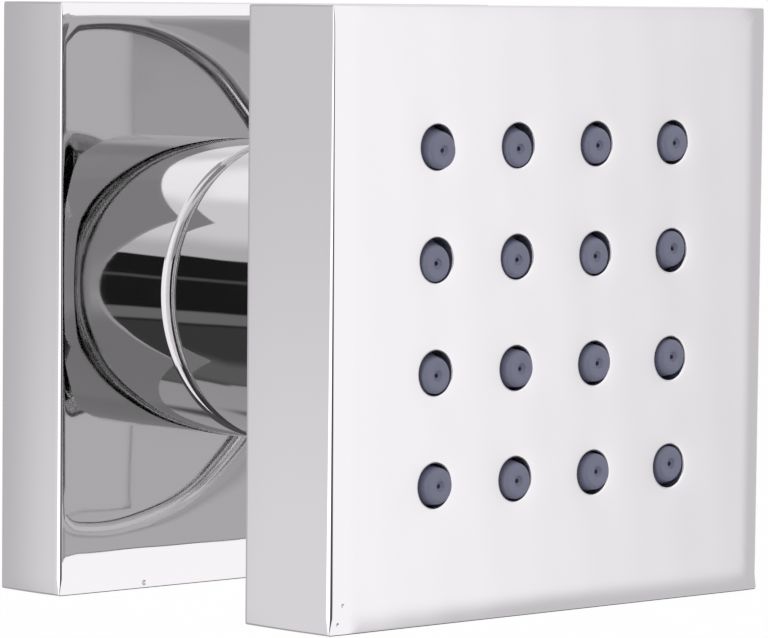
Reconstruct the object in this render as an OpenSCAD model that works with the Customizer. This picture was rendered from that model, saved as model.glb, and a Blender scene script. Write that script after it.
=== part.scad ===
// Square body-spray shower head on a ball-jointed neck with a square wall plate
// Millimetres. +X right and +Z up as seen from the front; the wall is the plane Y = 0, and the head faces -Y.
// Every piece is drawn with its local Z pointing out of the wall, and out_of_wall() turns it into place.

/* [Overall] */
// Distance from the wall to the spray face
projection = 41.5; // [40:0.5:60]

/* [Head shell] */
// Side of the square head
head_side = 50; // [50:0.5:64]
// Depth of the head from its back to its spray face
head_depth = 10.2; // [9.8:0.1:13]
// Thickness of the spray face
face_wall = 1.6; // [1.2:0.1:2]
// Wall between the round bore and the middle of each side
rim_wall = 2.5; // [1.6:0.1:2.8]
// Radius on the edges round the spray face
face_edge_r = 0.4; // [0.2:0.1:1.2]
// Radius on the four corners seen from the front
head_corner_r = 0.8; // [0.6:0.1:2]
// Radius on the edges round the back of the head
back_edge_r = 0.5; // [0.2:0.1:0.8]
// How far the round cover lies inside the back of the head
cover_recess = 1.3; // [0.8:0.1:1.6]
// Radius on the rim of that recess
recess_rim_r = 0.6; // [0.2:0.1:0.8]

/* [Nozzles] */
// Nozzles along each side of the square grid
nozzle_rows = 4; // [2:1:4]
// Distance between neighbouring nozzles
nozzle_pitch = 9.1; // [7.5:0.1:9.2]
// Diameter of the holes in the spray face
hole_d = 3.6; // [3.2:0.1:4.2]
// Gap between a nozzle's root and its hole, on the radius
nozzle_clear = 0.08; // [0.04:0.01:0.15]
// Diameter of a nozzle at the foot of its rounded tip
nozzle_tip_d = 3; // [2.6:0.1:3.1]
// How far the tips stand proud of the spray face
tip_stand = 0.4; // [0:0.05:0.6]
// Radius on the rim of a nozzle's tip
tip_round = 0.45; // [0.1:0.05:0.6]
// Diameter of the water channel inside a nozzle
channel_d = 1.8; // [1.4:0.1:2]
// Diameter of the outlet in a nozzle's tip
outlet_d = 0.8; // [0.6:0.1:1]
// Length of that outlet
outlet_len = 0.6; // [0.4:0.1:0.8]
// Thickness of the sheet that carries the nozzles
mat_t = 1.2; // [1:0.1:1.4]

/* [Inside the head] */
// Clearance of the loose discs in the round bore, on the radius
disc_clear = 0.2; // [0.1:0.05:0.4]
// Clearance of each screwed joint, on the radius
thread_clear = 0.05; // [0.03:0.01:0.1]
// Thickness of the jet plate
jet_plate_t = 1.5; // [1.2:0.1:1.6]
// Diameter of the jet plate's holes
jet_hole_d = 2.2; // [1.8:0.1:2.4]
// Height of the jet plate's stiffening ribs
jet_rib_h = 0.7; // [0.4:0.1:0.8]
// Thickness of those ribs
jet_rib_t = 0.8; // [0.6:0.1:1.2]
// Thickness of the web of the back cover
cover_web_t = 1.8; // [1.4:0.1:2]
// Thickness of the rim of the back cover
cover_rim_t = 3.2; // [3:0.1:3.4]
// Width of the rim of the back cover, and of the spacer ring that it presses
cover_rim_w = 2.1; // [1.8:0.1:2.6]
// Diameter of the hub of the back cover
hub_d = 15; // [14:0.5:16]
// Length of the hub of the back cover
hub_len = 3; // [2.6:0.1:3.2]

/* [Ball joint] */
// Diameter of the ball
ball_d = 17; // [16.6:0.1:17.2]
// Thickness of the seal and the seat that wrap the ball
liner_t = 0.9; // [0.7:0.1:1]
// Running clearance on each side of the seal and the seat
ball_clear = 0.05; // [0.03:0.01:0.08]
// How far the middle of the ball lies behind the front of the neck
ball_set_back = 6.4; // [6.2:0.1:6.6]
// How far the retaining ring lies behind the front of the neck
ring_set_back = 0.3; // [0.2:0.05:0.4]
// Angle from the head's axis to the front edge of the seal
seal_front_angle = 67; // [64:0.5:70]
// Angle from the head's axis to the back edge of the seal
seal_back_angle = 84; // [78:0.5:85]
// Angle from the head's axis to the front edge of the seat
seat_front_angle = 98; // [97:0.5:102]
// Angle from the head's axis to the back edge of the seat
seat_back_angle = 138; // [130:0.5:142]
// Diameter of the stem between the ball and the head
stem_d = 9; // [8.4:0.1:9.2]
// Diameter of the water way through the ball and the stem
ball_bore_d = 6; // [5:0.1:6.2]
// Diameter of the screwed end of the stem
spigot_d = 8.8; // [8.4:0.1:9]
// Width of the hexagon on the stem, across its flats
hex_af = 11; // [10.6:0.1:11.2]
// Thickness of the hexagon on the stem
hex_t = 1.4; // [1.2:0.1:1.5]
// Thickness of the washer between the hexagon and the back cover
washer_t = 0.8; // [0.6:0.1:1]

/* [Neck] */
// Diameter of the neck
neck_d = 26.2; // [26:0.1:30]
// Gap between the front of the neck and the back of the head
neck_gap = 3.3; // [3.1:0.1:5]
// Radius on the foot of the neck, at the wall plate
foot_r = 1.0; // [0.4:0.1:1]
// Radius on the front edge of the neck
neck_edge_r = 0.5; // [0.2:0.1:0.8]
// Diameter of the retaining ring that is screwed into the neck
ring_d = 22.4; // [22:0.1:22.6]
// Diameter of the water way through the neck
water_d = 9; // [7:0.5:10]
// Diameter of the plain shank behind the neck
shank_d = 19.4; // [18.6:0.1:20]
// Number of spanner slots in the retaining ring
slot_count = 4; // [2:1:6]
// Width of a spanner slot
slot_w = 2; // [1.5:0.1:2.5]
// Depth of a spanner slot
slot_depth = 1; // [0.6:0.1:1.2]

/* [Inlet] */
// Outside diameter of the half-inch pipe thread
thread_d = 20.955; // [20.955]
// Length of the thread behind the wall's surface
thread_len = 13; // [12:0.5:18]
// Length of the thread in front of the wall's surface
thread_lead = 1; // [0.5:0.1:1.5]
// Chamfer on the end of the thread
thread_chamfer = 1; // [0.5:0.1:1.2]
// Diameter of the inlet bore
inlet_d = 14.8; // [14.2:0.1:15]
// Depth of the inlet bore
inlet_depth = 11; // [10.5:0.5:12]
// Length of the flow regulator
regulator_len = 4.4; // [4.2:0.1:4.8]
// Thickness of the wall of the flow regulator's cup
regulator_wall = 1.3; // [1:0.1:1.6]
// Thickness of the floor of that cup
regulator_floor = 1.2; // [1:0.1:1.6]
// Diameter of the post in the cup
post_d = 4.8; // [4.2:0.1:5]
// How far the post ends short of the cup's rim
post_set_back = 0.4; // [0.2:0.1:0.8]
// Diameter of the ports in the cup's floor
port_d = 1.6; // [1.2:0.1:1.7]
// Number of those ports
port_count = 8; // [4:1:8]
// Thickness of the rubber washer that holds the strainer
strainer_washer_t = 1.4; // [1:0.1:1.6]
// Width of that washer's ring
strainer_washer_w = 2; // [1.4:0.1:2.4]
// Thickness of the strainer
strainer_t = 0.5; // [0.4:0.05:0.6]
// Width of the strainer's rim
strainer_rim_w = 1; // [0.8:0.1:1.4]
// Distance between the wires of the strainer
strainer_pitch = 1.4; // [1.2:0.1:1.8]
// Width of a wire of the strainer
wire_w = 0.35; // [0.25:0.05:0.4]
// Clearance of the pieces in the inlet bore, on the radius
inlet_clear = 0.1; // [0.05:0.05:0.2]

/* [Wall plate] */
// Side of the square wall plate
plate_side = 50; // [46:0.5:70]
// Depth of the wall plate
plate_depth = 7.8; // [7:0.1:10]
// Thickness of the wall plate's front and sides
plate_wall = 1.4; // [1:0.1:1.8]
// Radius on the edges round the front of the wall plate
plate_edge_r = 0.5; // [0.2:0.1:0.9]
// Radius on the edges round the back of the wall plate
plate_rim_r = 0.3; // [0.1:0.1:0.4]
// Radius on the four corners seen from the front
plate_corner_r = 0.8; // [0.6:0.1:2]
// Clearance of the wall plate round the thread, on the radius
plate_hole_clear = 0.25; // [0.15:0.05:0.4]
// Outside diameter of the foam gasket behind the wall plate
gasket_d = 32; // [29:0.5:36]
// Inside diameter of the foam gasket, clear of the wall fitting
gasket_bore_d = 24; // [23:0.5:27]

/* [Round seals] */
// Section of the ring under the neck's foot
foot_seal_t = 0.8; // [0.6:0.1:0.9]
// Section of the ring round the retaining ring
ring_seal_t = 1; // [0.8:0.1:1.1]
// Section of the ring round the back cover
cover_seal_t = 1.2; // [1:0.1:1.3]
// Section of the ring in the flow regulator
regulator_seal_t = 1.5; // [1.3:0.1:1.6]
// Play of each of these rings in its groove
seal_play = 0.04; // [0.02:0.01:0.08]

/* [Hidden] */

$fn = 96;
over = 0.5;              // how far a cutting shape runs past the surface that it cuts
far = 200;               // longer than any piece

// Places along the axis, measured out from the wall
z_face = projection;
z_face_in = z_face - face_wall;
z_tip = z_face + tip_stand;
z_back = z_face - head_depth;
z_cover = z_back + cover_recess;
z_mat = z_face_in - mat_t;
z_jet = z_mat - jet_plate_t;
z_cover_in = z_cover + cover_rim_t;
z_neck = z_back - neck_gap;
z_ball = z_neck - ball_set_back;
z_ring = z_neck - ring_set_back;
z_plate_in = plate_depth - plate_wall;
z_inlet_end = -thread_len;
z_inlet_floor = z_inlet_end + inlet_depth;
z_regulator = z_inlet_floor - regulator_len;
z_strainer_washer = z_regulator - strainer_washer_t;
z_strainer = z_strainer_washer - strainer_t;

// Radii
bore_r = head_side / 2 - rim_wall;
disc_r = bore_r - disc_clear;
cover_r = bore_r - thread_clear;
ball_r = ball_d / 2;
socket_r = ball_r + liner_t + 2 * ball_clear;
ring_r = ring_d / 2;
neck_r = neck_d / 2;
thread_r = thread_d / 2;
plate_hole_r = thread_r + plate_hole_clear;
inlet_r = inlet_d / 2;
inlet_piece_r = inlet_r - inlet_clear;
nozzle_root_r = hole_d / 2 - nozzle_clear;
nozzle_reach = (nozzle_rows - 1) / 2 * nozzle_pitch;

// Grooves
foot_groove_r = (plate_hole_r + neck_r - foot_r) / 2;
z_ring_seat = z_ball + ball_clear;
ring_land = 0.6;         // metal left behind the groove of the retaining ring
regulator_seal_r = post_d / 2 + seal_play + regulator_seal_t / 2;
cover_land = (cover_rim_t - cover_seal_t) / 2 - seal_play;

module out_of_wall() rotate([90, 0, 0]) children();

// A turned piece: its profile is drawn as radius against distance from the wall
module turned() out_of_wall() rotate_extrude() children();

// One rectangle of such a profile
module band(r0, r1, z0, z1) translate([r0, z0]) square([r1 - r0, z1 - z0]);

// The right half of a circle whose middle is on the axis
module half_disc(r, z) intersection() {
    translate([0, z]) circle(r);
    band(0, far, z - r - over, z + r + over);
}

// What is cut from a profile's corner to round it; sx and sz point from the piece to the corner
module corner_cut(r, at, sx, sz) translate(at) scale([sx, sz]) difference() {
    translate([-r, -r]) square(r + over);
    translate([-r, -r]) circle(r);
}

// Round sealing ring of a given section
module seal_ring(mid_r, z, section) turned() translate([mid_r, z]) circle(section / 2, $fn = 48);

// Cup-shaped zone between two spheres round the ball, between two angles from the head's axis
module ball_zone(front_angle, back_angle) turned() intersection() {
    difference() {
        half_disc(socket_r - ball_clear, z_ball);
        translate([0, z_ball]) circle(ball_r + ball_clear);
    }
    translate([0, z_ball]) polygon([
        [0, 0],
        far * [sin(front_angle), cos(front_angle)],
        far * [sin((front_angle + back_angle) / 2), cos((front_angle + back_angle) / 2)],
        far * [sin(back_angle), cos(back_angle)]
    ]);
}

// A square with rounded corners, centred on the origin
module soft_square(side, r) {
    square([side, side - 2 * r], center = true);
    square([side - 2 * r, side], center = true);
    for (x = [-1, 1], y = [-1, 1]) translate([x, y] * (side / 2 - r)) circle(r);
}

// Side view of a square block: back corners and front corners with their own radii
module side_outline(side, z0, z1, back_r, front_r) difference() {
    translate([-side / 2, z0]) square([side, z1 - z0]);
    for (s = [-1, 1]) {
        corner_cut(front_r, [s * side / 2, z1], s, 1);
        corner_cut(back_r, [s * side / 2, z0], s, -1);
    }
}

// A square block with soft edges, from z0 to z1 out of the wall
module soft_block(side, z0, z1, corner_r, back_r, front_r) intersection() {
    translate([0, 0, z0]) linear_extrude(z1 - z0) soft_square(side, corner_r);
    rotate([90, 0, 0]) linear_extrude(far, center = true) side_outline(side, z0, z1, back_r, front_r);
    rotate([90, 0, 90]) linear_extrude(far, center = true) side_outline(side, z0, z1, back_r, front_r);
}

// Repeats its child at each nozzle
module at_nozzles() for (i = [0 : nozzle_rows - 1], j = [0 : nozzle_rows - 1])
    translate([i * nozzle_pitch - nozzle_reach, j * nozzle_pitch - nozzle_reach, 0]) children();

// Square cover that hides the hole in the wall, hollow behind
module wall_plate() color("lightgray") out_of_wall() difference() {
    soft_block(plate_side, 0, plate_depth, plate_corner_r, plate_rim_r, plate_edge_r);
    translate([0, 0, -over]) linear_extrude(z_plate_in + over)
        soft_square(plate_side - 2 * plate_wall, plate_corner_r);
    translate([0, 0, -over]) cylinder(r = plate_hole_r, h = plate_depth + 2 * over);
}

// Foam ring between the wall plate and the wall
module wall_gasket() color("dimgray") turned()
    band(gasket_bore_d / 2, gasket_d / 2, 0, z_plate_in);

// Turned body: pipe thread, shank and the neck that holds the ball
module neck_body() color("silver") turned() difference() {
    union() {
        band(0, neck_r, plate_depth, z_neck);
        band(0, shank_d / 2, thread_lead, plate_depth);
        polygon([
            [0, z_inlet_end], [thread_r - thread_chamfer, z_inlet_end],
            [thread_r, z_inlet_end + thread_chamfer], [thread_r, thread_lead], [0, thread_lead]
        ]);
    }
    corner_cut(foot_r, [neck_r, plate_depth], 1, -1);
    corner_cut(neck_edge_r, [neck_r, z_neck], 1, 1);
    translate([0, z_ball]) circle(socket_r);
    band(-over, socket_r, z_ball, z_neck + over);
    band(-over, ring_r + thread_clear, z_ring_seat, z_neck + over);
    band(-over, water_d / 2, z_inlet_floor - over, z_ball);
    band(-over, inlet_r, z_inlet_end - over, z_inlet_floor);
    band(foot_groove_r - foot_seal_t / 2 - seal_play, foot_groove_r + foot_seal_t / 2 + seal_play,
         plate_depth - over, plate_depth + foot_seal_t + 2 * seal_play);
}

// Rubber ring under the foot of the neck
module foot_seal() color("#202020")
    seal_ring(foot_groove_r, plate_depth + foot_seal_t / 2 + seal_play, foot_seal_t);

// Woven steel screen that keeps grit out
module inlet_strainer() color("silver") out_of_wall() translate([0, 0, z_strainer]) {
    difference() {
        cylinder(r = inlet_piece_r, h = strainer_t);
        translate([0, 0, -over]) cylinder(r = inlet_piece_r - strainer_rim_w, h = strainer_t + 2 * over);
    }
    intersection() {
        cylinder(r = inlet_piece_r - strainer_rim_w / 2, h = strainer_t);
        strainer_wires();
    }
}

// Crossing wires of the strainer
module strainer_wires() {
    wires = floor(inlet_piece_r / strainer_pitch);
    for (turn = [0, 90], i = [-wires : wires]) rotate(turn)
        translate([-inlet_r, i * strainer_pitch - wire_w / 2, 0]) cube([inlet_d, wire_w, strainer_t]);
}

// Rubber washer that grips the bore and holds the strainer
module strainer_washer() color("#202020") turned()
    band(inlet_piece_r - strainer_washer_w, inlet_piece_r, z_strainer_washer, z_regulator);

// Plastic cup with ports round a post, which meters the flow
module flow_regulator() color("#e8e2d0") out_of_wall() translate([0, 0, z_regulator]) {
    difference() {
        cylinder(r = inlet_piece_r, h = regulator_len);
        translate([0, 0, -over])
            cylinder(r = inlet_piece_r - regulator_wall, h = regulator_len - regulator_floor + over);
        for (i = [0 : port_count - 1]) rotate(i * 360 / port_count)
            translate([regulator_seal_r, 0, 0]) cylinder(d = port_d, h = regulator_len + over, $fn = 32);
    }
    translate([0, 0, post_set_back]) cylinder(d = post_d, h = regulator_len - post_set_back);
}

// Soft ring round the post of the flow regulator
module regulator_seal() color("darkorange")
    seal_ring(regulator_seal_r, z_inlet_floor - regulator_floor - regulator_seal_t / 2 - seal_play,
              regulator_seal_t);

// Screwed ring that holds the ball in the neck
module retaining_ring() color("silver") difference() {
    turned() difference() {
        band(0, ring_r, z_ring_seat, z_ring);
        translate([0, z_ball]) circle(socket_r);
        band(ring_r - ring_seal_t - 2 * seal_play + thread_clear, ring_r + over,
             z_ring_seat + ring_land, z_ring_seat + ring_land + ring_seal_t + 2 * seal_play);
    }
    out_of_wall() for (i = [0 : slot_count - 1]) rotate(i * 360 / slot_count)
        translate([socket_r, -slot_w / 2, z_ring - slot_depth]) cube([neck_r, slot_w, slot_depth + over]);
}

// Rubber ring between the retaining ring and the neck
module ring_seal() color("#202020")
    seal_ring(ring_r + thread_clear - ring_seal_t / 2 - seal_play,
              z_ring_seat + ring_land + ring_seal_t / 2 + seal_play, ring_seal_t);

// Lip seal round the front of the ball
module ball_seal() color("#303030") ball_zone(seal_front_angle, seal_back_angle);

// Low-friction seat behind the ball
module ball_seat() color("whitesmoke") ball_zone(seat_front_angle, seat_back_angle);

// Ball with its hollow stem, hexagon and screwed end
module ball_stem() color("silver") difference() {
    z_hex = z_cover - washer_t - hex_t;
    union() {
        turned() {
            half_disc(ball_r, z_ball);
            band(0, stem_d / 2, z_ball, z_hex + over);
            band(0, spigot_d / 2, z_cover - washer_t - over, z_cover + hub_len);
        }
        out_of_wall() translate([0, 0, z_hex]) cylinder(d = hex_af / cos(30), h = hex_t, $fn = 6);
    }
    turned() band(0, ball_bore_d / 2, z_ball - ball_d, z_face);
}

// Washer between the stem's hexagon and the back cover
module stem_washer() color("#202020") turned()
    band(spigot_d / 2 + thread_clear, hex_af / 2, z_cover - washer_t, z_cover);

// Round cover screwed into the back of the head, with the hub for the stem
module back_cover() color("silver") turned() difference() {
    union() {
        band(0, cover_r, z_cover, z_cover + cover_web_t);
        band(cover_r - cover_rim_w, cover_r, z_cover, z_cover_in);
        band(0, hub_d / 2, z_cover, z_cover + hub_len);
    }
    band(-over, spigot_d / 2 + thread_clear, z_cover - over, z_cover + hub_len + over);
    band(bore_r - cover_seal_t - 2 * seal_play, cover_r + over,
         z_cover + cover_land, z_cover + cover_land + cover_seal_t + 2 * seal_play);
}

// Rubber ring between the back cover and the head
module cover_seal() color("#202020")
    seal_ring(bore_r - cover_seal_t / 2 - seal_play, z_cover + cover_land + cover_seal_t / 2 + seal_play,
              cover_seal_t);

// Plastic ring that passes the cover's thrust to the jet plate
module spacer_ring() color("#e8e2d0") turned() band(bore_r - cover_rim_w, disc_r, z_cover_in, z_jet);

// Plastic plate that feeds every nozzle and presses the mat to the face
module jet_plate() color("#d8d8d8") out_of_wall() difference() {
    union() {
        translate([0, 0, z_jet]) cylinder(r = disc_r, h = jet_plate_t);
        for (turn = [0, 90], i = [0 : nozzle_rows - 2])
            rotate(turn) jet_rib((i + 0.5) * nozzle_pitch - nozzle_reach);
    }
    at_nozzles() translate([0, 0, z_jet - jet_rib_h - over])
        cylinder(d = jet_hole_d, h = jet_plate_t + jet_rib_h + 2 * over, $fn = 48);
}

// One stiffening rib, between two rows of nozzles
module jet_rib(y) intersection() {
    translate([-bore_r, y - jet_rib_t / 2, z_jet - jet_rib_h]) cube([2 * bore_r, jet_rib_t, jet_rib_h + over]);
    translate([0, 0, z_jet - jet_rib_h]) cylinder(r = bore_r - cover_rim_w - disc_clear, h = jet_rib_h + over);
}

// Soft sheet with all the nozzles moulded on it
module nozzle_mat() color("slategray") out_of_wall() difference() {
    union() {
        translate([0, 0, z_mat]) cylinder(r = disc_r, h = mat_t);
        at_nozzles() rotate_extrude($fn = 48) nozzle_profile();
    }
    at_nozzles() rotate_extrude($fn = 32) channel_profile();
}

// Outside of a nozzle, from inside the sheet to its rounded tip
module nozzle_profile() {
    polygon([
        [0, z_mat + mat_t / 2], [nozzle_root_r, z_mat + mat_t / 2], [nozzle_root_r, z_face_in],
        [nozzle_tip_d / 2, z_tip - tip_round], [0, z_tip - tip_round]
    ]);
    difference() {
        band(0, nozzle_tip_d / 2, z_tip - tip_round - over, z_tip);
        corner_cut(tip_round, [nozzle_tip_d / 2, z_tip], 1, 1);
    }
}

// Water channel of a nozzle: wide behind, with a fine outlet in the tip
module channel_profile() polygon([
    [0, z_mat - over], [channel_d / 2, z_mat - over], [channel_d / 2, z_face_in],
    [outlet_d / 2, z_tip - outlet_len], [outlet_d / 2, z_tip + over], [0, z_tip + over]
]);

// Square head, bored from behind, with a hole for every nozzle
module head_shell() color("gainsboro") out_of_wall() difference() {
    soft_block(head_side, z_back, z_face, head_corner_r, back_edge_r, face_edge_r);
    rotate_extrude() {
        band(0, bore_r, z_back - over, z_face_in);
        difference() {
            band(0, bore_r + recess_rim_r, z_back - over, z_back + recess_rim_r);
            translate([bore_r + recess_rim_r, z_back + recess_rim_r]) circle(recess_rim_r);
        }
    }
    at_nozzles() translate([0, 0, z_face_in - over]) cylinder(d = hole_d, h = face_wall + 2 * over, $fn = 64);
}

wall_plate();
wall_gasket();
neck_body();
foot_seal();
inlet_strainer();
strainer_washer();
flow_regulator();
regulator_seal();
retaining_ring();
ring_seal();
ball_seal();
ball_seat();
ball_stem();
stem_washer();
back_cover();
cover_seal();
spacer_ring();
jet_plate();
nozzle_mat();
head_shell();
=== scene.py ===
"""Looks of the square shower head: polished skins, soft nozzles, cut thread, studio and camera."""

import math

import bmesh
import bpy
from mathutils import Matrix, Vector


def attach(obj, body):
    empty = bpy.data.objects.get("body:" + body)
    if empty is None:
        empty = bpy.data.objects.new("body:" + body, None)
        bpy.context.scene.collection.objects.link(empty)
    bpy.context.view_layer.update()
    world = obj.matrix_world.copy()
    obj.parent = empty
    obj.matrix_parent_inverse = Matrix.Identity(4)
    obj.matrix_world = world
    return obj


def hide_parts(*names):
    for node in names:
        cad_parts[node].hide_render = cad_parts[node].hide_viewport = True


MM = 0.001

# Camera, fitted to the photograph
CAM_YAW = 0.7535
CAM_PITCH = -0.0660
CAM_ROLL = 0.0089
CAM_DISTANCE = 447.7366
CAM_AIM_X = 19.4870
CAM_AIM_Z = -3.6999
CAM_FOCUS_PX = 4908.69
PHOTO_WIDTH = 768
SENSOR = 36.0

# Sizes of the part, in millimetres; depths are measured out from the wall
HEAD_HALF = 25.0
HEAD_FACE = 41.5
HEAD_BACK = 31.3
FACE_WALL = 1.6
BORE_R = 22.5
RECESS_RIM_R = 1.0
GRID = 4
PITCH = 9.1
HOLE_R = 1.8
PLATE_HALF = 25.0
PLATE_FACE = 7.8
PLATE_WALL = 1.4
PLATE_HOLE_R = 10.7275
NECK_R = 13.1
NECK_FRONT = 28.0
NECK_FOOT_R = 1.0
NECK_EDGE_R = 0.5
SHANK_R = 9.7
BALL_CENTRE = 21.6
SOCKET_R = 9.5
RING_BORE_R = 11.25
RING_SEAT = 21.65
WATER_R = 4.5
INLET_R = 7.4
INLET_FLOOR = -2.0
INLET_END = -13.0
SEAL_GROOVE_IN = 10.974
SEAL_GROOVE_OUT = 11.854
SEAL_GROOVE_DEPTH = 0.88
THREAD_R = 10.4775
THREAD_START = 1.0
THREAD_CHAMFER = 1.0
THREAD_PITCH = 1.814
THREAD_DEPTH = 1.16
MAT_R = 22.3
MAT_BACK = 38.7
MAT_FACE = 39.9
NOZZLE_ROOT_R = 1.72
NOZZLE_TIP_R = 1.5
TIP_ROUND = 0.45
CHANNEL_R = 0.9
OUTLET_R = 0.4
OUTLET_LENGTH = 0.6

# How each soft nozzle leans right and up at its tip, and stands proud, row by row from the top
NOZZLE_LEANS = (
    ((0.22, -0.30, 0.50), (-0.14, -0.30, 0.35), (-0.04, -0.14, 0.38), (0.02, -0.07, 0.40)),
    ((-0.18, -0.28, 0.30), (-0.16, -0.24, 0.30), (-0.14, -0.22, 0.32), (-0.04, 0.20, 0.36)),
    ((-0.10, -0.20, 0.36), (0.16, -0.04, 0.48), (0.12, 0.00, 0.45), (0.00, 0.16, 0.40)),
    ((0.18, -0.02, 0.48), (0.02, -0.16, 0.40), (0.12, 0.09, 0.45), (-0.08, 0.24, 0.36)),
)

# Finish left by polishing: crisp edges, apart from the upright ones of the two faces
CORNER_R = 0.2
CRISP_R = 0.1
HEAD_EDGE_R = 0.6
PLATE_EDGE_R = 0.5
EDGE_THIN = 0.3
EDGE_FADE = 0.6
FACE_ROLL = 0.12
FACE_ROLL_WIDTH = 2.2
PLATE_ROLL = 0.06
PLATE_ROLL_WIDTH = 1.8
SIDE_BULGE = 0.02
RIPPLE = 0.0012
HOLE_DISH = 0.014
HOLE_DISH_WIDTH = 0.7
HOLE_EDGE_R = 0.14

# Small pits in the faces: right, up, radius
HEAD_NICKS = ((-23.6, -22.6, 0.22), (-24.1, -24.1, 0.2))
PLATE_NICKS = ((-15.6, -24.5, 0.3),)
NICK_DEPTH = 0.04

# Floor
FLOOR_HEIGHT = -120.0
FLOOR_REACH = 60000.0

# How finely round shapes are divided
SIDE_STEPS = 48
CORNER_STEPS = 4
AROUND = 4 * SIDE_STEPS
CELL_STEPS = SIDE_STEPS // GRID

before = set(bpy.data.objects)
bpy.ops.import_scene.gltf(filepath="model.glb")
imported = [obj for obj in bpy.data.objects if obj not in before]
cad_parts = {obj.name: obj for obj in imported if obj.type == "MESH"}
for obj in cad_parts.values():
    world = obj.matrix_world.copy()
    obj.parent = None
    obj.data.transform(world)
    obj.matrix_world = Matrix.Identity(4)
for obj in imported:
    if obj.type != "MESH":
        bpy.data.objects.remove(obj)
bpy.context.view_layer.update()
scene = bpy.context.scene


# Loops: lists of AROUND points (x, z, depth), each starting at the lower left corner
def square_loop(half, corner_r, depth):
    """Rounded square whose points gather in the corners."""
    points = []
    straight = SIDE_STEPS - 2 * CORNER_STEPS
    for side in range(4):
        turn = side * math.pi / 2
        for step in range(SIDE_STEPS):
            if step < CORNER_STEPS:
                angle = -math.pi / 4 + math.pi / 4 * step / CORNER_STEPS
                along = -(half - corner_r) + corner_r * math.sin(angle)
                out = half - corner_r + corner_r * math.cos(angle)
            elif step <= SIDE_STEPS - CORNER_STEPS:
                share = (step - CORNER_STEPS) / straight
                along = (half - corner_r) * (2 * share - 1)
                out = half
            else:
                angle = math.pi / 4 * (step - SIDE_STEPS + CORNER_STEPS) / CORNER_STEPS
                along = half - corner_r + corner_r * math.sin(angle)
                out = half - corner_r + corner_r * math.cos(angle)
            points.append(turned(along, -out, turn, depth))
    return points


def turned(x, z, turn, depth):
    return (
        x * math.cos(turn) - z * math.sin(turn),
        x * math.sin(turn) + z * math.cos(turn),
        depth,
    )


def circle_loop(radius, depth):
    step = 2 * math.pi / AROUND
    return [
        (radius * math.cos(-0.75 * math.pi + i * step), radius * math.sin(-0.75 * math.pi + i * step), depth)
        for i in range(AROUND)
    ]


def between(first, second, share):
    return [
        tuple(a + (b - a) * share for a, b in zip(one, other))
        for one, other in zip(first, second)
    ]


# Meshes
class Build:
    """Collects shared vertices and faces, then makes one object."""

    def __init__(self):
        self.points = []
        self.faces = []

    def add(self, point):
        self.points.append(point)
        return len(self.points) - 1

    def loop(self, points):
        return [self.add(point) for point in points]

    def bridge(self, first, second):
        count = len(first)
        for i in range(count):
            j = (i + 1) % count
            self.faces.append((first[i], first[j], second[j], second[i]))

    def object(self, name, sharp=30):
        mesh = bpy.data.meshes.new(name)
        mesh.from_pydata([(x * MM, -d * MM, z * MM) for x, z, d in self.points], [], self.faces)
        mesh.validate()
        made = bpy.data.objects.new(name, mesh)
        scene.collection.objects.link(made)
        fix_normals(mesh)
        mesh.shade_smooth()
        mesh.set_sharp_from_angle(angle=math.radians(sharp))
        return made


def fix_normals(mesh):
    work = bmesh.new()
    work.from_mesh(mesh)
    bmesh.ops.recalc_face_normals(work, faces=work.faces)
    work.to_mesh(mesh)
    work.free()


def arc(centre_r, centre_d, radius, start, stop, steps):
    """Profile points on an arc; angles from the outward radius towards the front, in degrees."""
    points = []
    for i in range(steps + 1):
        angle = math.radians(start + (stop - start) * i / steps)
        points.append((centre_r + radius * math.cos(angle), centre_d + radius * math.sin(angle)))
    return points


# Lattice of square cells with a round hole in each, shared by the spray face and the nozzle mat
def hole_centres():
    reach = (GRID - 1) / 2 * PITCH
    return [(i * PITCH - reach, j * PITCH - reach) for i in range(GRID) for j in range(GRID)]


def lattice(build, outer_loop, height):
    """Vertices along the cell walls, keyed by step counts; the outer ones are those of outer_loop."""
    span = GRID * CELL_STEPS
    half = GRID * PITCH / 2
    grid = {}
    for i in range(span):
        grid[(i, 0)] = outer_loop[i]
        grid[(span, i)] = outer_loop[span + i]
        grid[(span - i, span)] = outer_loop[2 * span + i]
        grid[(0, span - i)] = outer_loop[3 * span + i]
    for i in range(1, span):
        for j in range(1, span):
            if i % CELL_STEPS == 0 or j % CELL_STEPS == 0:
                x = i / span * 2 * half - half
                z = j / span * 2 * half - half
                grid[(i, j)] = build.add((x, z, height(x, z)))
    return grid


def cell_walk(column, row):
    """Keys of a cell's wall vertices, once round."""
    left, low = column * CELL_STEPS, row * CELL_STEPS
    right, high = left + CELL_STEPS, low + CELL_STEPS
    walk = [(left + i, low) for i in range(CELL_STEPS)]
    walk += [(right, low + i) for i in range(CELL_STEPS)]
    walk += [(right - i, high) for i in range(CELL_STEPS)]
    walk += [(left, high - i) for i in range(CELL_STEPS)]
    return walk


def cell_angles():
    angles = []
    for i, j in cell_walk(0, 0):
        angles.append(math.atan2(j - CELL_STEPS / 2, i - CELL_STEPS / 2))
    return angles


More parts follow.
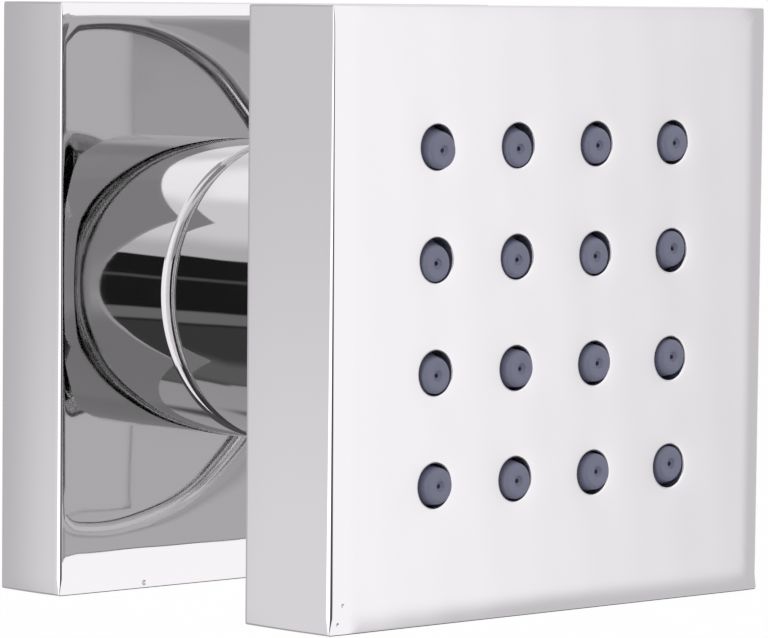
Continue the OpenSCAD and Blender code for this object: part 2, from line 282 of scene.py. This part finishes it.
def holed_sheet(build, outer_loop, height, hole_r, layers):
    """Sheet inside outer_loop with a hole at each grid place. Returns the rings round the holes."""
    grid = lattice(build, outer_loop, height)
    rings = []
    for column in range(GRID):
        for row in range(GRID):
            cx, cz = hole_centres()[column * GRID + row]
            wall = [grid[key] for key in cell_walk(column, row)]
            rim = [(cx + hole_r * math.cos(a), cz + hole_r * math.sin(a)) for a in cell_angles()]
            ring = build.loop([(x, z, height(x, z)) for x, z in rim])
            rings.append(ring)
            inner = ring
            for layer in range(1, layers):
                share = (layer / layers) ** 1.6
                points = []
                for (x, z), w in zip(rim, wall):
                    px = x + (build.points[w][0] - x) * share
                    pz = z + (build.points[w][1] - z) * share
                    points.append((px, pz, height(px, pz)))
                outer = build.loop(points)
                build.bridge(inner, outer)
                inner = outer
            build.bridge(inner, wall)
    return rings


def ring_at(cx, cz, radius, depth):
    return [(cx + radius * math.cos(a), cz + radius * math.sin(a), depth) for a in cell_angles()]


# Polished faces roll off towards their edges and dip a little round their holes
def roll_off(x, z, half, drop, width):
    total = 0
    for place in (x, z):
        share = max(0, 1 - (half - abs(place)) / width)
        total += drop * share * share
    return total


def ripple(x, z):
    """Faint waviness left by the polishing wheel."""
    waves = ((0.61, 0.35, 0.4), (0.27, -0.83, 1.9), (1.13, 0.12, 0.0))
    return RIPPLE * sum(math.sin(along * x + up * z + start) for along, up, start in waves)


def head_face_height(x, z):
    dip = 0
    for cx, cz in hole_centres():
        gap = math.hypot(x - cx, z - cz) - HOLE_R
        if gap < 6 * HOLE_DISH_WIDTH:
            dip += HOLE_DISH * math.exp(-max(gap, 0) / HOLE_DISH_WIDTH)
    return HEAD_FACE - roll_off(x, z, HEAD_HALF, FACE_ROLL, FACE_ROLL_WIDTH) - dip + ripple(x, z)


def plate_face_height(x, z):
    return PLATE_FACE - roll_off(x, z, PLATE_HALF, PLATE_ROLL, PLATE_ROLL_WIDTH) + ripple(z + 9, x)


def edge_radius(edge_r, half, z, upright):
    """Upright edges are thin at the top, rounder below and fade out at their ends."""
    if not upright:
        return CRISP_R
    worn = EDGE_THIN + (1 - EDGE_THIN) * (half - z) / (2 * half)
    fade = min(1, max(0, (half - CORNER_R - SIDE_BULGE - abs(z)) / EDGE_FADE))
    return CRISP_R + (edge_r * worn - CRISP_R) * fade


def edge_loops(height, half, corner_r, edge_r, roll_angle, steps):
    """Loops over a front edge: from the rolled face to the side."""
    step = 0.01
    outer = square_loop(half, corner_r, 0)
    inner = square_loop(half - step, corner_r - step, 0)
    loops = [[] for _ in range(steps + 1)]
    for (x, z, d), (x_in, z_in, d_in) in zip(outer, inner):
        out_x, out_z = (x - x_in) / step, (z - z_in) / step
        radius = edge_radius(edge_r, half, z, abs(out_x) > 0.999)
        inset = radius * (1 - math.sin(roll_angle))
        centre = height(x - out_x * inset, z - out_z * inset) - radius * math.cos(roll_angle)
        for number, loop in enumerate(loops):
            angle = roll_angle + (math.pi / 2 - roll_angle) * number / steps
            inset = radius * (1 - math.sin(angle))
            loop.append((x - out_x * inset, z - out_z * inset, centre + radius * math.cos(angle)))
    return loops


def side_loops(half, corner_r, front, back):
    """Loops down a side that bulges a little in the middle, with tight ones beside its edges."""
    loops = []
    for share in (0.02, 0.12, 0.25, 0.37, 0.5, 0.63, 0.75, 0.88, 0.98):
        bulge = SIDE_BULGE * 4 * share * (1 - share)
        depth = front + (back - front) * share
        loops.append(square_loop(half - SIDE_BULGE + bulge, corner_r, depth))
    return loops


def back_edge_loops(half, corner_r, back, steps):
    loops = []
    for step in range(steps + 1):
        angle = math.pi / 2 * step / steps
        inset = CRISP_R * (1 - math.cos(angle))
        loops.append(square_loop(half - inset, corner_r - inset, back + CRISP_R * (1 - math.sin(angle))))
    return loops


def make_head():
    build = Build()
    edge_half = HEAD_HALF - SIDE_BULGE
    roll_angle = math.atan(2 * FACE_ROLL / FACE_ROLL_WIDTH)
    block = [(x, z, head_face_height(x, z)) for x, z, d in even_square(GRID * PITCH / 2)]
    block_ring = build.loop(block)
    rings = holed_sheet(build, block_ring, head_face_height, HOLE_R + HOLE_EDGE_R, 10)
    edge = edge_loops(head_face_height, edge_half, CORNER_R, HEAD_EDGE_R, roll_angle, 8)
    last = block_ring
    steps = 16
    for step in range(1, steps):
        share = 1 - (1 - step / steps) ** 1.4
        loop = between(block, edge[0], share)
        ring = build.loop([(x, z, head_face_height(x, z)) for x, z, d in loop])
        build.bridge(last, ring)
        last = ring
    front = HEAD_FACE - HEAD_EDGE_R - FACE_ROLL
    sides = side_loops(HEAD_HALF, CORNER_R, front, HEAD_BACK + CRISP_R)
    back_edge = back_edge_loops(edge_half, CORNER_R, HEAD_BACK, 4)
    rim_arc = arc(BORE_R + RECESS_RIM_R, HEAD_BACK + RECESS_RIM_R, RECESS_RIM_R, 270, 180, 10)
    rim = [circle_loop(r, d) for r, d in rim_arc]
    back = [between(back_edge[-1], rim[0], share) for share in (0.25, 0.5, 0.75)]
    chain = edge + sides + back_edge + back + rim
    chain += [circle_loop(BORE_R, HEAD_BACK + 4), circle_loop(BORE_R, HEAD_FACE - FACE_WALL - 0.4)]
    for loop in chain:
        ring = build.loop(loop)
        build.bridge(last, ring)
        last = ring
    floor = build.loop(circle_loop(BORE_R, HEAD_FACE - FACE_WALL))
    build.bridge(last, floor)
    inner_rings = holed_sheet(build, floor, lambda x, z: HEAD_FACE - FACE_WALL, HOLE_R, 3)
    for (cx, cz), front, back in zip(hole_centres(), rings, inner_rings):
        last = front
        for step in range(1, 5):
            angle = math.pi / 2 * step / 4
            radius = HOLE_R + HOLE_EDGE_R * (1 - math.sin(angle))
            depth = head_face_height(cx + HOLE_R, cz) - HOLE_EDGE_R * (1 - math.cos(angle))
            ring = build.loop(ring_at(cx, cz, radius, depth))
            build.bridge(last, ring)
            last = ring
        build.bridge(last, back)
    return build.object("head_polished")


def even_square(half):
    points = []
    for side in range(4):
        for step in range(SIDE_STEPS):
            along = half * (2 * step / SIDE_STEPS - 1)
            points.append(turned(along, -half, side * math.pi / 2, 0))
    return points


def make_plate():
    build = Build()
    edge_half = PLATE_HALF - SIDE_BULGE
    roll_angle = math.atan(2 * PLATE_ROLL / PLATE_ROLL_WIDTH)
    inner_half = PLATE_HALF - PLATE_WALL
    inner_depth = PLATE_FACE - PLATE_WALL
    hole = [(x, z, plate_face_height(x, z)) for x, z, d in circle_loop(PLATE_HOLE_R, 0)]
    edge = edge_loops(plate_face_height, edge_half, CORNER_R, PLATE_EDGE_R, roll_angle, 8)
    chain = [hole]
    steps = 28
    for step in range(1, steps):
        share = 1 - (1 - step / steps) ** 1.3
        loop = between(hole, edge[0], share)
        chain.append([(x, z, plate_face_height(x, z)) for x, z, d in loop])
    chain += edge
    chain += side_loops(PLATE_HALF, CORNER_R, PLATE_FACE - PLATE_EDGE_R - PLATE_ROLL, CRISP_R)
    chain += back_edge_loops(edge_half, CORNER_R, 0, 4)
    chain.append(square_loop(inner_half, CORNER_R, 0))
    chain.append(square_loop(inner_half, CORNER_R, inner_depth - 0.6))
    for angle in (30, 60, 90):
        inset = 0.6 * (1 - math.cos(math.radians(angle)))
        rise = 0.6 * math.sin(math.radians(angle))
        chain.append(square_loop(inner_half - inset, CORNER_R, inner_depth - 0.6 + rise))
    chain.append(circle_loop(PLATE_HOLE_R, inner_depth))
    rings = [build.loop(loop) for loop in chain]
    for first, second in zip(rings, rings[1:] + rings[:1]):
        build.bridge(first, second)
    return build.object("plate_polished")


# Neck with its cut pipe thread
def thread_radius(turn, depth):
    """Rounded V thread, fading out at its start and cut back by the chamfer at its end."""
    phase = (depth / THREAD_PITCH - turn / (2 * math.pi)) % 1
    valley = 1 - abs(2 * phase - 1)
    cut = THREAD_DEPTH * min(1, max(0, (valley - 0.12) / 0.76))
    fade = min(1, max(0, (THREAD_START - depth) / 1.2))
    radius = THREAD_R - cut * fade
    chamfer = THREAD_R - max(0, THREAD_CHAMFER - (depth - INLET_END))
    return min(radius, chamfer)


def make_neck():
    build = Build()
    step = 2 * math.pi / AROUND
    angles = [-0.75 * math.pi + i * step for i in range(AROUND)]
    rings = []
    slices = round((THREAD_START - INLET_END) / THREAD_PITCH * 14)
    for i in range(slices + 1):
        depth = INLET_END + (THREAD_START - INLET_END) * i / slices
        loop = []
        for number, angle in enumerate(angles):
            radius = thread_radius(number * step, depth)
            loop.append((radius * math.cos(angle), radius * math.sin(angle), depth))
        rings.append(build.loop(loop))
    profile = [(SHANK_R, THREAD_START), (SHANK_R, PLATE_FACE)]
    profile += [(SEAL_GROOVE_IN, PLATE_FACE), (SEAL_GROOVE_IN, PLATE_FACE + SEAL_GROOVE_DEPTH)]
    profile += [(SEAL_GROOVE_OUT, PLATE_FACE + SEAL_GROOVE_DEPTH), (SEAL_GROOVE_OUT, PLATE_FACE)]
    profile += arc(NECK_R - NECK_FOOT_R, PLATE_FACE + NECK_FOOT_R, NECK_FOOT_R, -90, 0, 12)
    profile += [(NECK_R, 14), (NECK_R, 21)]
    profile += arc(NECK_R - NECK_EDGE_R, NECK_FRONT - NECK_EDGE_R, NECK_EDGE_R, 0, 90, 8)
    profile += [(RING_BORE_R + 0.2, NECK_FRONT), (RING_BORE_R, NECK_FRONT - 0.2), (RING_BORE_R, RING_SEAT)]
    mouth = math.degrees(math.acos(WATER_R / SOCKET_R))
    profile += arc(0, BALL_CENTRE, SOCKET_R, 0, -mouth, 20)
    profile += [(WATER_R, INLET_FLOOR), (INLET_R, INLET_FLOOR)]
    profile += [(INLET_R, INLET_END + 0.4), (INLET_R + 0.4, INLET_END)]
    rings += [build.loop(circle_loop(r, d)) for r, d in profile]
    for first, second in zip(rings, rings[1:] + rings[:1]):
        build.bridge(first, second)
    return build.object("neck_turned")


# Soft mat: every nozzle leans a little in its hole, as moulded silicone does
def nozzle_profile(tip):
    """Radius and depth, from the root over the rounded tip into the water channel."""
    shoulder = tip - TIP_ROUND
    flat_r = NOZZLE_TIP_R - TIP_ROUND
    profile = [(NOZZLE_ROOT_R - 0.02, MAT_FACE + 0.2), (NOZZLE_TIP_R + 0.04, shoulder - 0.2)]
    profile += arc(flat_r, shoulder, TIP_ROUND, 0, 90, 6)
    profile += [(OUTLET_R + 0.12, tip), (OUTLET_R + 0.04, tip - 0.03), (OUTLET_R - 0.02, tip - 0.16)]
    profile += [(OUTLET_R - 0.2, tip - 0.22), (OUTLET_R - 0.22, tip - OUTLET_LENGTH), (CHANNEL_R, MAT_FACE)]
    return profile


def make_mat():
    build = Build()
    front_edge = build.loop(circle_loop(MAT_R, MAT_FACE))
    back_edge = build.loop(circle_loop(MAT_R, MAT_BACK))
    build.bridge(front_edge, back_edge)
    fronts = holed_sheet(build, front_edge, lambda x, z: MAT_FACE, NOZZLE_ROOT_R, 3)
    backs = holed_sheet(build, back_edge, lambda x, z: MAT_BACK, CHANNEL_R, 3)
    for number, ((cx, cz), front, back) in enumerate(zip(hole_centres(), fronts, backs)):
        column, row = divmod(number, GRID)
        lean_x, lean_z, stand = NOZZLE_LEANS[GRID - 1 - row][column]
        tip = HEAD_FACE + stand
        last = front
        for radius, depth in nozzle_profile(tip):
            share = max(0, (depth - MAT_FACE) / (tip - MAT_FACE))
            ring = build.loop(ring_at(cx + lean_x * share, cz + lean_z * share, radius, depth))
            build.bridge(last, ring)
            last = ring
        build.bridge(last, back)
    return build.object("nozzle_mat_soft", sharp=50)


# Node helpers
class Graph:
    """Short names for building a node tree."""

    def __init__(self, tree):
        self.tree = tree
        self.tree.nodes.clear()

    def node(self, kind, **settings):
        made = self.tree.nodes.new("ShaderNode" + kind)
        for name, value in settings.items():
            setattr(made, name, value)
        return made

    def put(self, socket, value):
        if isinstance(value, bpy.types.NodeSocket):
            self.tree.links.new(value, socket)
        else:
            socket.default_value = value

    def math(self, operation, *values):
        made = self.node("Math", operation=operation)
        for socket, value in zip(made.inputs, values):
            self.put(socket, value)
        return made.outputs[0]

    def ramp(self, value, low, high, to_low=0.0, to_high=1.0):
        made = self.node("MapRange", interpolation_type="SMOOTHSTEP")
        numbers = {"Value": value, "From Min": low, "From Max": high, "To Min": to_low, "To Max": to_high}
        for name, number in numbers.items():
            self.put(made.inputs[name], number)
        return made.outputs["Result"]

    def mix(self, factor, first, second):
        made = self.node("Mix", data_type="RGBA")
        self.put(made.inputs["Factor"], factor)
        self.put(made.inputs[6], first)
        self.put(made.inputs[7], second)
        return made.outputs[2]

    def noise(self, vector, scale, detail=2.0, roughness=0.5):
        made = self.node("TexNoise")
        self.put(made.inputs["Vector"], vector)
        self.put(made.inputs["Scale"], scale)
        self.put(made.inputs["Detail"], detail)
        self.put(made.inputs["Roughness"], roughness)
        return made.outputs["Fac"]

    def place(self, stretch=(1, 1, 1)):
        """Position on the object, in metres, squeezed by stretch."""
        made = self.node("Mapping")
        self.put(made.inputs["Vector"], self.node("TexCoord").outputs["Object"])
        self.put(made.inputs["Scale"], stretch)
        return made.outputs[0]

    def bump(self, height, distance, strength=1.0):
        made = self.node("Bump")
        self.put(made.inputs["Height"], height)
        self.put(made.inputs["Distance"], distance)
        self.put(made.inputs["Strength"], strength)
        return made.outputs[0]


# Camera
def make_camera():
    way = Vector((
        math.sin(CAM_YAW) * math.cos(CAM_PITCH),
        math.cos(CAM_YAW) * math.cos(CAM_PITCH),
        math.sin(CAM_PITCH),
    ))
    right = Vector((math.cos(CAM_YAW), -math.sin(CAM_YAW), 0))
    up = right.cross(way)
    right_rolled = math.cos(CAM_ROLL) * right + math.sin(CAM_ROLL) * up
    up_rolled = -math.sin(CAM_ROLL) * right + math.cos(CAM_ROLL) * up
    place = (Vector((CAM_AIM_X, 0, CAM_AIM_Z)) - way * CAM_DISTANCE) * MM
    data = bpy.data.cameras.new("camera")
    data.sensor_width = SENSOR
    data.lens = CAM_FOCUS_PX * SENSOR / PHOTO_WIDTH
    data.clip_start = 0.01
    data.clip_end = 100
    camera = bpy.data.objects.new("camera", data)
    scene.collection.objects.link(camera)
    camera.matrix_world = Matrix((
        (right_rolled.x, up_rolled.x, -way.x, place.x),
        (right_rolled.y, up_rolled.y, -way.y, place.y),
        (right_rolled.z, up_rolled.z, -way.z, place.z),
        (0, 0, 0, 1),
    ))
    scene.camera = camera


# Soft cards of the studio, which the chrome reflects. Each row: compass from, to and softness,
# height from, to and softness, and level. All but the level are in degrees; the compass is 0
# straight out of the wall and positive to the right. A later card covers an earlier one.
STUDIO_TINT = (1.01, 0.978, 1.01)
STUDIO_LEVEL = 0.9
STUDIO_CARDS = (
    ((142, 221, 3), (-91, -12, 8), 0.54),
    ((142, 221, 3), (-12, 91, 8), 0.70),
    ((-218, -139, 3), (-91, -12, 8), 0.54),
    ((-218, -139, 3), (-12, 91, 8), 0.66),
    ((142, 166, 4), (-60, -20, 5), 0.47),
    ((142, 157, 4), (20, 60, 5), 0.6),
    ((122, 147, 2), (-91, 1.6, 1), 0.50),
    ((122, 147, 2), (-3.6, -0.7, 0.4), 0.72),
    ((122, 147, 2), (-16, -4, 1.5), 0.88),
    ((122, 147, 2), (1, 91, 2), 1.0),
    ((-140.6, -108, 2.5), (-91, 91, 1), 0.84),
    ((-140.6, -108, 2.5), (-91, -4, 3), 1.0),
    ((-112, -45, 2), (-91, 91, 4), 1.9),
    ((-34, 60, 5), (24, 91, 5), 1.5),
    ((-12, 46, 3), (-47, -22, 3), 0.60),
    ((-4, 60, 3), (-22, 27, 3), 1.39),
    ((47.2, 125, 5.8), (-91, 24, 4), 0.81),
    ((44.4, 125, 2), (-91, -10.5, 3.5), 0.8),
    ((44, 140, 3), (20, 91, 3), 1.1),
    ((44, 140, 3), (-91, -24, 2), 0.14),
    ((14, 60, 3), (-91, -38, 1.5), 0.14),
    ((-60, 140, 3), (-91, -46, 1), 0.14),
    ((-45, -31, 0.6), (-91, 16, 0.4), 0.02),
    ((-31, -10, 1), (-40, 16, 0.4), 0.12),
    ((-45, -12, 0.6), (-91, -17, 1), 0.08),
    ((-26, -12, 3), (-60, -28, 3), 0.21),
    ((-45, -31, 0.6), (-16, -10.5, 0.7), 0.28),
    ((-45, -31, 0.6), (4.7, 6, 0.5), 0.13),
    ((-60, -20, 3), (16.3, 91, 0.4), 0.9),
    ((-40, 30, 4), (24, 91, 4), 1.3),
    ((-60, 24, 4), (40, 52, 2), 1.72),
    ((-12, 24, 5), (37, 60, 3), 1.8),
    ((-100, -50, 4), (44, 91, 4), 1.7),
    ((-50, 16, 2), (53, 91, 1), 0.7),
)


def card_mask(g, place, low, high, soft):
    """1 between low and high, 0 outside."""
    rise = g.ramp(place, low - soft, low + soft)
    fall = g.ramp(place, high - soft, high + soft, 1.0, 0.0)
    return g.math("MULTIPLY", rise, fall)


def make_world():
    world = bpy.data.worlds.new("studio")
    scene.world = world
    world.use_nodes = True
    g = Graph(world.node_tree)
    sides = g.node("SeparateXYZ")
    g.put(sides.inputs[0], g.node("TexCoord").outputs["Generated"])
    x, y, z = sides.outputs
    compass = g.math("DEGREES", g.math("ARCTAN2", x, g.math("MULTIPLY", y, -1.0)))
    height = g.math("DEGREES", g.math("ARCSINE", z))
    level = STUDIO_LEVEL
    for across, upright, brightness in STUDIO_CARDS:
        mask = g.math("MULTIPLY", card_mask(g, compass, *across), card_mask(g, height, *upright))
        mix = g.node("Mix", data_type="FLOAT")
        g.put(mix.inputs["Factor"], mask)
        g.put(mix.inputs[2], level)
        g.put(mix.inputs[3], brightness)
        level = mix.outputs[0]
    colour = g.node("CombineColor")
    for socket, share in zip(colour.inputs, STUDIO_TINT):
        g.put(socket, g.math("MULTIPLY", level, share))
    path = g.node("LightPath")
    seen = g.mix(path.outputs["Is Glossy Ray"], (1, 1, 1, 1), colour.outputs[0])
    back = g.node("Background")
    g.put(back.inputs["Color"], seen)
    g.put(g.node("OutputWorld").inputs[0], back.outputs[0])


# Pale floor, which lies below the fitting and is seen from above only
def make_floor():
    build = Build()
    corners = [(-1, -1), (1, -1), (1, 1), (-1, 1)]
    points = [(FLOOR_REACH * i, FLOOR_HEIGHT, FLOOR_REACH * j) for i, j in corners]
    build.faces.append(tuple(build.loop(points)))
    floor = build.object("floor")
    made, g, shader = material("floor_card")
    grain = g.noise(g.place(), 60, 3.0, 0.6)
    g.put(shader.inputs["Base Color"], g.mix(grain, (0.985, 0.985, 0.985, 1), (1, 1, 1, 1)))
    g.put(shader.inputs["Roughness"], 1.0)
    g.put(shader.inputs["Specular IOR Level"], 0.0)
    clear = g.node("BsdfTransparent")
    pick = g.node("MixShader")
    g.put(pick.inputs[0], g.node("NewGeometry").outputs["Backfacing"])
    g.put(pick.inputs[1], shader.outputs[0])
    g.put(pick.inputs[2], clear.outputs[0])
    output = next(node for node in made.node_tree.nodes if node.type == "OUTPUT_MATERIAL")
    g.put(output.inputs["Surface"], pick.outputs[0])
    floor.data.materials.append(made)
    floor.visible_glossy = False


# Materials
def material(name):
    made = bpy.data.materials.new(name)
    made.use_nodes = True
    g = Graph(made.node_tree)
    shader = g.node("BsdfPrincipled")
    g.put(g.node("OutputMaterial").inputs["Surface"], shader.outputs[0])
    return made, g, shader


def nick_height(g, nicks, face_height):
    """1 on the plain face, 0 in the middle of a pit."""
    spot = g.node("TexCoord").outputs["Object"]
    height = 1.0
    for x, z, radius in nicks:
        gap = g.node("VectorMath", operation="DISTANCE")
        g.put(gap.inputs[0], spot)
        g.put(gap.inputs[1], (x * MM, -face_height(x, z) * MM, z * MM))
        height = g.math("MULTIPLY", height, g.ramp(gap.outputs["Value"], 0, radius * MM))
    return height


def chrome(name, colour, roughness, streak=(1, 1, 1), streak_depth=0.0, nicks=(), face_height=None):
    """Polished plate: faint smears in the gloss, wheel marks along one way, and pits in its face."""
    made, g, shader = material(name)
    g.put(shader.inputs["Base Color"], (*colour, 1))
    g.put(shader.inputs["Metallic"], 1.0)
    smear = g.noise(g.place(), 90, 3.0, 0.6)
    g.put(shader.inputs["Roughness"], g.ramp(smear, 0.35, 0.75, roughness, roughness * 2.2))
    if streak_depth:
        marks = g.noise(g.place(streak), 400, 2.0, 0.6)
        g.put(shader.inputs["Normal"], g.bump(marks, streak_depth))
    if nicks:
        g.put(shader.inputs["Normal"], g.bump(nick_height(g, nicks, face_height), NICK_DEPTH * MM))
    return made


def plain(name, colour, roughness, grain_scale, grain_depth, shade=0.8):
    """Rubber or plastic: mottled colour and a fine moulded grain."""
    made, g, shader = material(name)
    mottle = g.noise(g.place(), 220, 3.0, 0.6)
    darker = tuple(c * shade for c in colour)
    g.put(shader.inputs["Base Color"], g.mix(mottle, (*darker, 1), (*colour, 1)))
    grain = g.noise(g.place(), grain_scale, 3.0, 0.6)
    g.put(shader.inputs["Roughness"], g.ramp(grain, 0.3, 0.7, roughness * 0.85, roughness * 1.1))
    g.put(shader.inputs["Normal"], g.bump(grain, grain_depth))
    return made


def dress(node, made):
    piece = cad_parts[node]
    piece.data.materials.clear()
    piece.data.materials.append(made)


def stand_for(piece, node, body, made):
    piece.data.materials.append(made)
    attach(piece, body)
    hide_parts(node)


make_camera()
make_world()
make_floor()

polish = {"colour": (0.66, 0.66, 0.66), "roughness": 0.02}
head_chrome = chrome("head_chrome", **polish, nicks=HEAD_NICKS, face_height=head_face_height)
plate_chrome = chrome("plate_chrome", **polish, nicks=PLATE_NICKS, face_height=plate_face_height)
neck_chrome = chrome("neck_chrome", (0.66, 0.66, 0.66), 0.025, (1, 0.02, 1), 0.000004)
back_chrome = chrome("back_chrome", (0.66, 0.66, 0.66), 0.03)
ring_chrome = chrome("ring_chrome", (0.74, 0.74, 0.75), 0.08)
wire_steel = chrome("wire_steel", (0.6, 0.6, 0.6), 0.25)

stand_for(make_head(), "head_shell", "head", head_chrome)
stand_for(make_plate(), "wall_plate", "wall_side", plate_chrome)
stand_for(make_neck(), "neck_body", "wall_side", neck_chrome)
nozzle_silicone = plain("nozzle_silicone", (0.155, 0.162, 0.235), 0.5, 3000, 0.00001)
stand_for(make_mat(), "nozzle_mat", "head", nozzle_silicone)

dress("back_cover", back_chrome)
dress("ball_stem", back_chrome)
dress("retaining_ring", ring_chrome)
dress("inlet_strainer", wire_steel)
black_rubber = plain("black_rubber", (0.03, 0.03, 0.03), 0.6, 4000, 0.00002)
for node in ("foot_seal", "strainer_washer", "ring_seal", "ball_seal", "stem_washer", "cover_seal"):
    dress(node, black_rubber)
dress("wall_gasket", plain("gasket_foam", (0.07, 0.07, 0.07), 0.9, 2500, 0.0002))
pale_plastic = plain("pale_plastic", (0.72, 0.7, 0.64), 0.4, 3000, 0.00001)
for node in ("flow_regulator", "ball_seat", "spacer_ring"):
    dress(node, pale_plastic)
dress("jet_plate", plain("jet_plastic", (0.6, 0.6, 0.61), 0.4, 3000, 0.00001))
dress("regulator_seal", plain("orange_rubber", (0.7, 0.25, 0.05), 0.5, 3000, 0.00001))

scene.view_settings.view_transform = "Standard"
